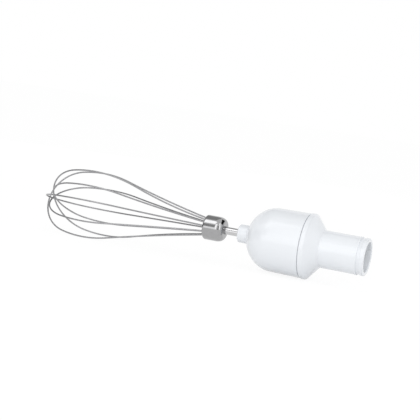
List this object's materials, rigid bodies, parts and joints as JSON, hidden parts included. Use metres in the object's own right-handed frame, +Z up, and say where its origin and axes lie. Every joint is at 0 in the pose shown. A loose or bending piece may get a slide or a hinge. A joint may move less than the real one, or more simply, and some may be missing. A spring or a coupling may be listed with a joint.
{
  "type": "immersion blender whisk attachment",
  "caption": "Balloon whisk on a planetary reduction gearbox, which plugs onto a hand blender's drive by a round neck and lets the whisk pull out.",
  "frame": {"origin": "on the turning axis, at the neck's root, where the neck leaves the conical shoulder", "axes": "+X along the turning axis, out of the neck towards the blender; the whisk points to -X; +Z up, as the part lies at rest"},
  "size_m": [0.266, 0.0587, 0.0543],
  "materials": {
    "white_plastic": "smooth gloss moulding",
    "gear_plastic": "natural moulded, unpainted",
    "sun_steel": "sintered, as pressed",
    "machined_steel": "fine turned",
    "bush_bronze": "sintered",
    "seal_rubber": "matt",
    "polished_steel": "mirror polish",
    "whisk_wire": "bright drawn wire",
    "plug_plastic": "moulded round the wires"
  },
  "bodies": {
    "gearbox": {"bell_housing": "white_plastic", "rear_cover": "white_plastic", "ring_gear": "gear_plastic", "nose_bush": "bush_bronze", "spindle_seal": "seal_rubber", "input_bush": "bush_bronze", "thrust_washer": "machined_steel"},
    "output": {"output_carrier": "gear_plastic", "output_spindle": "machined_steel", "second_planet_pins": "machined_steel", "centre_pin": "machined_steel", "shaft_clip": "machined_steel"},
    "whisk": {"whisk_shaft": "polished_steel", "ferrule": "polished_steel", "wire_plug": "plug_plastic", "wire_loop_1": "whisk_wire", "wire_loop_2": "whisk_wire", "wire_loop_3": "whisk_wire", "wire_loop_4": "whisk_wire", "wire_loop_5": "whisk_wire"},
    "second_planet_a": {"second_planet_1": "gear_plastic"},
    "second_planet_b": {"second_planet_2": "gear_plastic"},
    "second_planet_c": {"second_planet_3": "gear_plastic"},
    "first_stage": {"first_carrier": "gear_plastic", "first_planet_pins": "machined_steel", "second_sun": "sun_steel"},
    "first_planet_a": {"first_planet_1": "gear_plastic"},
    "first_planet_b": {"first_planet_2": "gear_plastic"},
    "first_planet_c": {"first_planet_3": "gear_plastic"},
    "input": {"input_shaft": "machined_steel", "drive_coupling": "gear_plastic", "first_sun": "sun_steel"}
  },
  "joints": [
    {"name": "output_spin", "type": "hinge", "parent": "gearbox", "child": "output", "pos_m": [0, 0, 0], "axis": [1, 0, 0], "continuous": true},
    {"name": "whisk_pull", "type": "slide", "parent": "output", "child": "whisk", "axis": [-1, 0, 0], "range_m": [0, 0.024]},
    {"name": "second_planet_a_spin", "type": "hinge", "parent": "output", "child": "second_planet_a", "pos_m": [-0.0298, 0.0135, 0], "axis": [1, 0, 0], "continuous": true},
    {"name": "second_planet_b_spin", "type": "hinge", "parent": "output", "child": "second_planet_b", "pos_m": [-0.0298, -0.00675, 0.01169], "axis": [1, 0, 0], "continuous": true},
    {"name": "second_planet_c_spin", "type": "hinge", "parent": "output", "child": "second_planet_c", "pos_m": [-0.0298, -0.00675, -0.01169], "axis": [1, 0, 0], "continuous": true},
    {"name": "first_stage_spin", "type": "hinge", "parent": "gearbox", "child": "first_stage", "pos_m": [0, 0, 0], "axis": [1, 0, 0], "continuous": true},
    {"name": "first_planet_a_spin", "type": "hinge", "parent": "first_stage", "child": "first_planet_a", "pos_m": [-0.0192, 0.0135, 0], "axis": [1, 0, 0], "continuous": true},
    {"name": "first_planet_b_spin", "type": "hinge", "parent": "first_stage", "child": "first_planet_b", "pos_m": [-0.0192, -0.00675, 0.01169], "axis": [1, 0, 0], "continuous": true},
    {"name": "first_planet_c_spin", "type": "hinge", "parent": "first_stage", "child": "first_planet_c", "pos_m": [-0.0192, -0.00675, -0.01169], "axis": [1, 0, 0], "continuous": true},
    {"name": "input_spin", "type": "hinge", "parent": "gearbox", "child": "input", "pos_m": [0, 0, 0], "axis": [1, 0, 0], "continuous": true}
  ],
  "couplings": [
    {"joint": "second_planet_a_spin", "follows": "output_spin", "ratio": -3.5},
    {"joint": "second_planet_b_spin", "follows": "output_spin", "ratio": -3.5},
    {"joint": "second_planet_c_spin", "follows": "output_spin", "ratio": -3.5},
    {"joint": "first_stage_spin", "follows": "output_spin", "ratio": 3.3333},
    {"joint": "first_planet_a_spin", "follows": "output_spin", "ratio": -11.667},
    {"joint": "first_planet_b_spin", "follows": "output_spin", "ratio": -11.667},
    {"joint": "first_planet_c_spin", "follows": "output_spin", "ratio": -11.667},
    {"joint": "input_spin", "follows": "output_spin", "ratio": 11.111}
  ]
}
